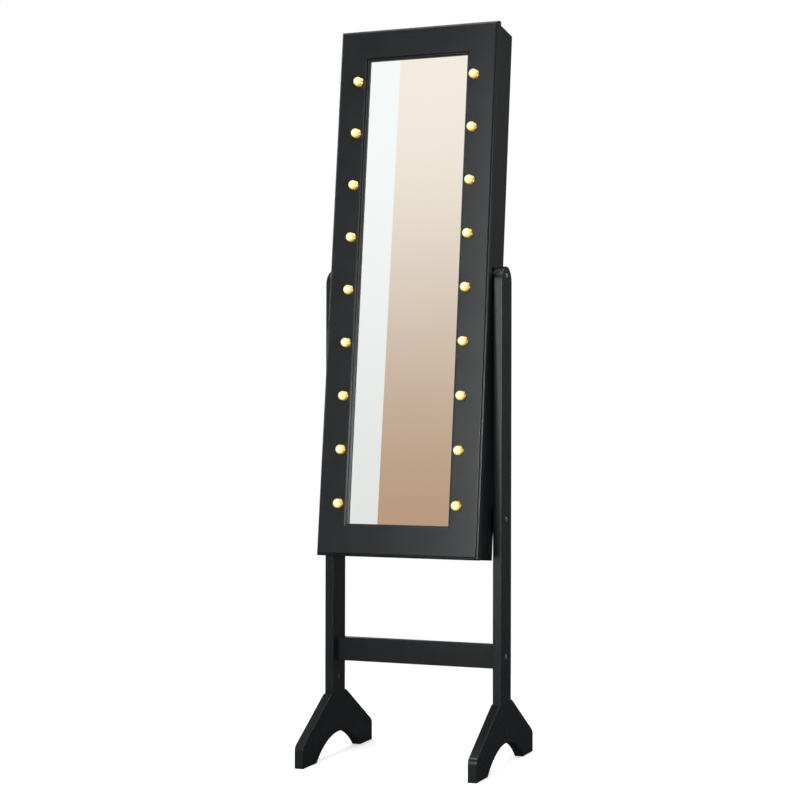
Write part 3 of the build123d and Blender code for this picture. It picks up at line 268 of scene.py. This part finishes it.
def bulb_glass():
    """Lit amber-lacquered globe: nearly white over its lamp and deep amber towards its base."""
    material, tree, shader = new_material("bulb_glass")
    set_values(shader, Base_Color=GLOBE_GLASS, Roughness=0.15, Coat_Weight=0.3)
    set_values(shader, Emission_Strength=GLOBE_GLOW)
    globes = nodes["left_bulb_globes"].data.vertices
    radius = (max(v.co.x for v in globes) - min(v.co.x for v in globes)) / 2
    front = max(v.co.dot(-BACK) for v in globes)
    coordinates = add(tree, "ShaderNodeTexCoord")
    forward = add(tree, "ShaderNodeVectorMath", operation="DOT_PRODUCT")
    forward.inputs[1].default_value = -BACK
    tree.links.new(coordinates.outputs["Object"], forward.inputs[0])
    far_back = to_range(tree, forward.outputs["Value"], 1, 0, front - radius, front)
    ramp = add(tree, "ShaderNodeValToRGB")
    stops = ramp.color_ramp.elements
    for place, colour in GLOBE_COLOURS[1:-1]:
        stops.new(place).color = (*colour, 1)
    for end in (0, -1):
        place, colour = GLOBE_COLOURS[end]
        stops[end].position = place
        stops[end].color = (*colour, 1)
    tree.links.new(far_back, ramp.inputs["Fac"])
    tree.links.new(ramp.outputs["Color"], shader.inputs["Emission Color"])
    return material


POLISH_SCALE = 400.0
TOOLING_SCALE = 1500.0
TOOLING_HEIGHT = 0.00003
TOOLING_STRENGTH = 0.4


def metal(name, colour, smoothest, roughest):
    """Metal with an uneven polish and fine tooling marks."""
    material, tree, shader = new_material(name)
    set_values(shader, Base_Color=(*colour, 1), Metallic=1.0)
    vector = object_coordinates(tree)
    polish = noise(tree, vector, POLISH_SCALE, detail=3.0)
    uneven_gloss(tree, shader, polish, smoothest, roughest)
    add_bump(tree, shader, noise(tree, vector, TOOLING_SCALE), TOOLING_HEIGHT, TOOLING_STRENGTH)
    return material


PLASTIC_IOR = 1.48
PLASTIC_CLOUD_SCALE = 60.0
SPARK_SCALE = 1800.0
SPARK_HEIGHT = 0.00006
SPARK_STRENGTH = 0.5
SPARK_SPREAD = 0.05       # how far the roughness strays either way
FILM_HEIGHT = 0.00001     # the much smoother film round a cell


def plastic(name, dark, light, roughness, height=SPARK_HEIGHT):
    """Moulded plastic or rubber with a fine spark texture."""
    material, tree, shader = new_material(name)
    set_values(shader, IOR=PLASTIC_IOR)
    vector = object_coordinates(tree)
    mottled(tree, shader, noise(tree, vector, PLASTIC_CLOUD_SCALE), dark, light)
    grain = noise(tree, vector, SPARK_SCALE, roughness=0.6)
    uneven_gloss(tree, shader, grain, roughness - SPARK_SPREAD, roughness + SPARK_SPREAD)
    add_bump(tree, shader, grain, height, SPARK_STRENGTH)
    return material


ACRYLIC_COLOUR = (0.97, 0.985, 1.0, 1)
ACRYLIC_IOR = 1.49
SMEAR_SCALE = 30.0
SMEAR_ROUGHNESS = (0.01, 0.07)


def clear_acrylic():
    """Clear sheet with faint smears in its polish."""
    material, tree, shader = new_material("clear_acrylic")
    set_values(shader, Base_Color=ACRYLIC_COLOUR, IOR=ACRYLIC_IOR, Transmission_Weight=1.0)
    smear = noise(tree, object_coordinates(tree), SMEAR_SCALE, detail=3.0)
    uneven_gloss(tree, shader, smear, *SMEAR_ROUGHNESS)
    return material


PORE_HEIGHT = 0.0002
PORE_STRENGTH = 0.4


def fibre_wood(name, dark, light, stretch, scale, roughness):
    """Wood or hardboard: streaks along the grain, with pores in the bump."""
    material, tree, shader = new_material(name)
    set_values(shader, Roughness=roughness)
    streaks = noise(tree, object_coordinates(tree, stretch), scale, detail=5.0, roughness=0.6)
    mottled(tree, shader, streaks, dark, light)
    add_bump(tree, shader, streaks, PORE_HEIGHT, PORE_STRENGTH)
    return material


ALL_WAYS = (1, 1, 1)
ALONG_DOWEL = (1, 1, 0.08)

MATERIALS = {
    "black_lacquer": black_lacquer(),
    "black_velvet": velvet("black_velvet", (0.010, 0.010, 0.012), (0.020, 0.020, 0.023)),
    "velvet_board": velvet("velvet_board", (0.012, 0.012, 0.014), (0.024, 0.024, 0.027)),
    "silvered_mirror": silvered_mirror(),
    "bulb_glass": bulb_glass(),
    "gold_metal": metal("gold_metal", (0.83, 0.58, 0.22), 0.22, 0.36),
    "zinc_steel": metal("zinc_steel", (0.70, 0.71, 0.72), 0.26, 0.42),
    "white_nylon": plastic("white_nylon", (0.72, 0.71, 0.67), (0.80, 0.79, 0.76), 0.42),
    "black_rubber": plastic("black_rubber", (0.012, 0.012, 0.012), (0.022, 0.022, 0.022), 0.75),
    "black_plastic": plastic("black_plastic", (0.014, 0.014, 0.015), (0.020, 0.020, 0.021), 0.45),
    "clear_acrylic": clear_acrylic(),
    "hardboard": fibre_wood(
        "hardboard", (0.13, 0.070, 0.035), (0.24, 0.14, 0.075), ALL_WAYS, 420.0, 0.7
    ),
    "beech_dowel": fibre_wood(
        "beech_dowel", (0.50, 0.33, 0.19), (0.66, 0.47, 0.29), ALONG_DOWEL, 900.0, 0.6
    ),
    "lamp_board": plastic("lamp_board", (0.70, 0.71, 0.68), (0.80, 0.81, 0.79), 0.35),
    "magnet_ferrite": metal("magnet_ferrite", (0.09, 0.09, 0.10), 0.35, 0.55),
    "cell_jacket": plastic(
        "cell_jacket", (0.060, 0.085, 0.130), (0.075, 0.100, 0.150), 0.30, FILM_HEIGHT
    ),
}


# Pieces with sawn or moulded edges, and how much their edges are broken.
BROKEN_EDGES = {
    "hook_bar": 0.0006,
    "ring_tray": 0.0006,
    "rod_brackets": 0.0008,
    "shelf_guards": 0.0004,
    "catch_housing": 0.0005,
    "battery_box": 0.0004,
    "battery_cover": 0.0002,
    "earring_brackets": 0.0008,
    "earring_bars": 0.0003,
    "strike_plate": 0.0002,
    "door_panel": 0.0010,
    "back_lining": 0.0006,
    "cabinet_back": 0.0003,
    "cabinet_top": 0.0004,
    "cabinet_bottom": 0.0004,
}
SHARP_ANGLE = radians(40)     # edges that turn more than this are broken


def dress_nodes():
    """Gives every CAD node the material of its slot, and breaks the sharp edges of some."""
    for subpart in frame["record"]["subparts"]:
        name = subpart["node"]
        piece = nodes[name]
        piece.data.materials.clear()
        piece.data.materials.append(MATERIALS[subpart["material_slot"]])
        if name in BROKEN_EDGES:
            bevel = piece.modifiers.new("broken_edges", "BEVEL")
            bevel.width = BROKEN_EDGES[name]
            bevel.segments = 2
            bevel.limit_method = "ANGLE"
            bevel.angle_limit = SHARP_ANGLE


# ---------------------------------------------------------------- ring cushion
CUSHION_ROLLS = 10
ROLL_BULGE = 0.86         # how far a roll stands out of its seams, as a part of its radius
ROLL_SHOULDER = 2.2       # these two powers shape a roll's section
ROLL_CROWN = 0.55
ROLL_SEGMENTS = 22
CUSHION_COLUMNS = 120
END_ROUND = 0.0045
CUSHION_DROP = 0.0009     # how far the crowns stay below the cushion's full depth
SAG_MOST = 0.0007
SEAM_POWER = 6            # higher keeps the puckers closer to the seams
PUCKER_DEPTH = 0.00022
PUCKER_WAVE = 260.0
DIMPLE_DEPTH = 0.00016
DIMPLE_WAVES = (61.0, 23.0)
DIMPLE_STEP = 2.3         # shifts the dimples from one roll to the next
CUSHION_SEED = 7


def cabinet_box(node):
    """Low and high corners of a node's mesh, in the cabinet's own directions from the pivot."""
    turned = CABINET.inverted()
    places = [turned @ vertex.co for vertex in node.data.vertices]
    low = Vector(min(p[axis] for p in places) for axis in range(3))
    high = Vector(max(p[axis] for p in places) for axis in range(3))
    return low, high


def end_drop(distance):
    """How far the front falls back at this distance from the cushion's nearer end."""
    if distance >= END_ROUND:
        return 0.0
    return END_ROUND - sqrt(END_ROUND**2 - (END_ROUND - distance) ** 2)


def make_ring_cushion():
    """Velvet over foam rolls sewn side by side, with the seams drawn in and puckered."""
    low, high = cabinet_box(nodes["ring_cushion"])
    length = high.x - low.x
    height = high.z - low.z
    depth = high.y - low.y
    radius = height / CUSHION_ROLLS / 2
    rng = random.Random(CUSHION_SEED)
    sag = [rng.uniform(0.0, SAG_MOST) for _ in range(CUSHION_ROLLS)]
    pucker = [rng.uniform(0, 2 * pi) for _ in range(CUSHION_ROLLS + 1)]
    rows = CUSHION_ROLLS * ROLL_SEGMENTS
    last = CUSHION_COLUMNS
    mesh = bmesh.new()

    def vertex(column, y, row):
        x = low.x + length * column / last
        z = low.z + height * row / rows
        return mesh.verts.new(CABINET @ Vector((x, y, z)))

    def front_y(column, row):
        along_rolls = row / ROLL_SEGMENTS
        roll = min(int(along_rolls), CUSHION_ROLLS - 1)
        across = abs((along_rolls - roll) * 2 - 1)
        part = column / last
        bulge = radius * ROLL_BULGE * (1 - across**ROLL_SHOULDER) ** ROLL_CROWN
        seam = across**SEAM_POWER
        wave = PUCKER_DEPTH * seam * sin(PUCKER_WAVE * part + pucker[roll])
        dimple = sin(DIMPLE_WAVES[0] * part + DIMPLE_STEP * roll)
        dimple *= sin(DIMPLE_WAVES[1] * part + pucker[roll])
        wave += DIMPLE_DEPTH * (1 - seam) * dimple
        drop = end_drop(length * min(part, 1 - part))
        seams_y = high.y - (depth - radius * ROLL_BULGE - CUSHION_DROP - sag[roll])
        return max(seams_y - bulge + wave + drop, low.y)

    grid = [
        [vertex(column, front_y(column, row), row) for column in range(last + 1)]
        for row in range(rows + 1)
    ]
    back = [[vertex(column, high.y, row) for column in range(last + 1)] for row in (0, rows)]
    for r in range(rows):
        for c in range(last):
            mesh.faces.new((grid[r][c], grid[r][c + 1], grid[r + 1][c + 1], grid[r + 1][c]))
    for c in range(last):
        mesh.faces.new((back[0][c], back[0][c + 1], grid[0][c + 1], grid[0][c]))
        mesh.faces.new((grid[rows][c], grid[rows][c + 1], back[1][c + 1], back[1][c]))
        mesh.faces.new((back[0][c + 1], back[0][c], back[1][c], back[1][c + 1]))
    left_end = [line[0] for line in grid]
    right_end = [line[last] for line in reversed(grid)]
    mesh.faces.new([back[0][0]] + left_end + [back[1][0]])
    mesh.faces.new([back[1][last]] + right_end + [back[0][last]])
    bmesh.ops.recalc_face_normals(mesh, faces=mesh.faces)
    data = bpy.data.meshes.new("ring_rolls")
    mesh.to_mesh(data)
    mesh.free()
    for polygon in data.polygons:
        polygon.use_smooth = len(polygon.vertices) == 4
    cushion = bpy.data.objects.new("ring_rolls", data)
    data.materials.append(MATERIALS["black_velvet"])
    scene.collection.objects.link(cushion)
    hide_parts("ring_cushion")
    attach(cushion, "cabinet")


# ---------------------------------------------------------------- stage
def flat_piece(name, corners, material):
    mesh = bpy.data.meshes.new(name)
    mesh.from_pydata(corners, [], [tuple(range(len(corners)))])
    mesh.materials.append(material)
    piece = bpy.data.objects.new(name, mesh)
    scene.collection.objects.link(piece)
    return piece


FLOOR_RADIUS = 3.2
FLOOR_STEPS = 64
FLOOR_GAP = 0.0005
FLOOR_FADE_START = 0.35
FLOOR_FADE_END = 1.6
FLOOR_LIFT = 0.42         # a little light of its own, as a lit sweep of paper has
FLOOR_DARK = (0.90, 0.90, 0.895)
FLOOR_LIGHT = (0.92, 0.92, 0.915)
FLOOR_CLOUD_SCALE = 30.0


def floor_material():
    """Matt near-white floor that fades into the backdrop a little way from the armoire."""
    material, tree, shader = new_material("floor")
    set_values(shader, Roughness=0.85, Specular_IOR_Level=0.1)
    set_values(shader, Emission_Strength=FLOOR_LIFT, Emission_Color=(1, 1, 1, 1))
    vector = object_coordinates(tree)
    cloud = noise(tree, vector, FLOOR_CLOUD_SCALE, detail=3.0)
    colour = blend_colours(tree, cloud, FLOOR_DARK, FLOOR_LIGHT)
    tree.links.new(colour, shader.inputs["Base Color"])
    distance = add(tree, "ShaderNodeVectorMath", operation="LENGTH")
    tree.links.new(vector, distance.inputs[0])
    away = distance.outputs["Value"]
    fade = to_range(tree, away, 1.0, 0.0, FLOOR_FADE_START, FLOOR_FADE_END, smooth=True)
    tree.links.new(fade, shader.inputs["Alpha"])
    return material


def make_floor():
    angles = [2 * pi * n / FLOOR_STEPS for n in range(FLOOR_STEPS)]
    level = FLOOR_Z - FLOOR_GAP
    rim = [(FLOOR_RADIUS * cos(a), FLOOR_RADIUS * sin(a), level) for a in angles]
    floor = flat_piece("floor", rim, floor_material())
    floor.visible_glossy = False


# Two plain flats in front of the armoire, which the mirror reflects. They meet on an edge that
# leans slightly.
FLAT_Y = -4.2
FLAT_TOP = 6.0
FLATS_LEFT = -5.0
FLATS_RIGHT = 4.0
JOIN_FOOT = -1.69
JOIN_TOP = -1.94
WHITE_LOW, WHITE_HIGH = (0.80, 0.80, 0.78), (0.97, 0.99, 0.99)
WHITE_SHADES = (0.8, 3.2)         # heights between which a flat goes from its low to its high colour
WARM_LOW, WARM_HIGH = (0.50, 0.33, 0.22), (0.95, 0.87, 0.77)
WARM_SHADES = (1.0, 3.3)


def flat_material(name, shades, low_colour, high_colour):
    """Glows for sharp reflections only, and is clear to every other ray."""
    material = bpy.data.materials.new(name)
    material.use_nodes = True
    tree = material.node_tree
    tree.nodes.clear()
    output = add(tree, "ShaderNodeOutputMaterial")
    coordinates = add(tree, "ShaderNodeTexCoord")
    split = add(tree, "ShaderNodeSeparateXYZ")
    tree.links.new(coordinates.outputs["Object"], split.inputs[0])
    height = to_range(tree, split.outputs["Z"], 0, 1, *shades, smooth=True)
    glow = add(tree, "ShaderNodeEmission", Strength=1.0)
    tree.links.new(blend_colours(tree, height, low_colour, high_colour), glow.inputs["Color"])
    path = add(tree, "ShaderNodeLightPath")
    clear = add(tree, "ShaderNodeBsdfTransparent")
    mix = add(tree, "ShaderNodeMixShader")
    tree.links.new(path.outputs["Is Singular Ray"], mix.inputs[0])
    tree.links.new(clear.outputs[0], mix.inputs[1])
    tree.links.new(glow.outputs["Emission"], mix.inputs[2])
    tree.links.new(mix.outputs[0], output.inputs["Surface"])
    return material


def make_flat(name, foot, top, material):
    """A standing flat between two places along its foot and two along its top."""
    corners = [(x, FLAT_Y, FLOOR_Z) for x in foot] + [(x, FLAT_Y, FLAT_TOP) for x in reversed(top)]
    flat = flat_piece(name, corners, material)
    flat.visible_camera = False
    flat.visible_diffuse = False
    flat.visible_shadow = False


def make_flats():
    white = flat_material("white_flat", WHITE_SHADES, WHITE_LOW, WHITE_HIGH)
    make_flat("white_flat", (FLATS_LEFT, JOIN_FOOT), (FLATS_LEFT, JOIN_TOP), white)
    warm = flat_material("warm_flat", WARM_SHADES, WARM_LOW, WARM_HIGH)
    make_flat("warm_flat", (JOIN_FOOT, FLATS_RIGHT), (JOIN_TOP, FLATS_RIGHT), warm)


MIDDLE = (0, 0, 0.7)
LIGHTS = (
    # name, place, what it is aimed at, width, height, watts
    ("overhead", (0.2, -0.4, 3.4), MIDDLE, 2.4, 2.4, 95),
    ("tall_strip", (-0.43, -4.0, 1.50), (0, 0, 1.0), 0.80, 2.8, 86),
    ("left_front", (-2.6, -2.2, 1.8), MIDDLE, 1.2, 2.0, 14),
    ("back_left", (-2.4, 3.0, 1.7), MIDDLE, 1.8, 2.2, 50),
    ("right_back", (2.6, 2.4, 1.9), (0, 0, 1.2), 1.4, 1.4, 7),
    ("right_front", (3.0, -2.2, 1.1), (0.187, 0, 0.6), 0.8, 0.8, 60),
)


def make_lights():
    for name, place, target, width, height, power in LIGHTS:
        data = bpy.data.lights.new(name, "AREA")
        data.shape = "RECTANGLE"
        data.size = width
        data.size_y = height
        data.energy = power
        light = bpy.data.objects.new(name, data)
        scene.collection.objects.link(light)
        light.matrix_world = aimed(place, target)
        light.visible_camera = False


WORLD_FRONT = (0.125, 0.135, 0.14)
WORLD_BACK_HIGH = (0.105, 0.105, 0.107)
WORLD_BACK_LOW = (0.012, 0.012, 0.013)
FRONT_TO_BACK = (-0.6, 0.2)       # between these parts of a direction's Y, front turns to back
LOW_TO_HIGH = (-0.24, -0.04)      # between these parts of its Z, low turns to high


def make_world():
    """White to the camera; for light and reflections dim grey, and nearly black low at the back."""
    world = bpy.data.worlds.new("studio")
    scene.world = world
    world.use_nodes = True
    tree = world.node_tree
    tree.nodes.clear()
    output = add(tree, "ShaderNodeOutputWorld")
    seen = add(tree, "ShaderNodeBackground", Color=(1, 1, 1, 1), Strength=1.0)
    cast = add(tree, "ShaderNodeBackground", Strength=1.0)
    coordinates = add(tree, "ShaderNodeTexCoord")
    split = add(tree, "ShaderNodeSeparateXYZ")
    tree.links.new(coordinates.outputs["Generated"], split.inputs[0])
    front = to_range(tree, split.outputs["Y"], 1, 0, *FRONT_TO_BACK, smooth=True)
    up = to_range(tree, split.outputs["Z"], 0, 1, *LOW_TO_HIGH)
    back = blend_colours(tree, up, WORLD_BACK_LOW, WORLD_BACK_HIGH)
    colour = blend_colours(tree, front, WORLD_BACK_LOW, WORLD_FRONT)
    tree.links.new(back, colour_input(colour.node, "A"))
    tree.links.new(colour, cast.inputs["Color"])
    path = add(tree, "ShaderNodeLightPath")
    mix = add(tree, "ShaderNodeMixShader")
    tree.links.new(path.outputs["Is Camera Ray"], mix.inputs[0])
    tree.links.new(cast.outputs[0], mix.inputs[1])
    tree.links.new(seen.outputs[0], mix.inputs[2])
    tree.links.new(mix.outputs[0], output.inputs["Surface"])


make_camera()
dress_nodes()
make_ring_cushion()
make_floor()
make_flats()
make_lights()
make_world()
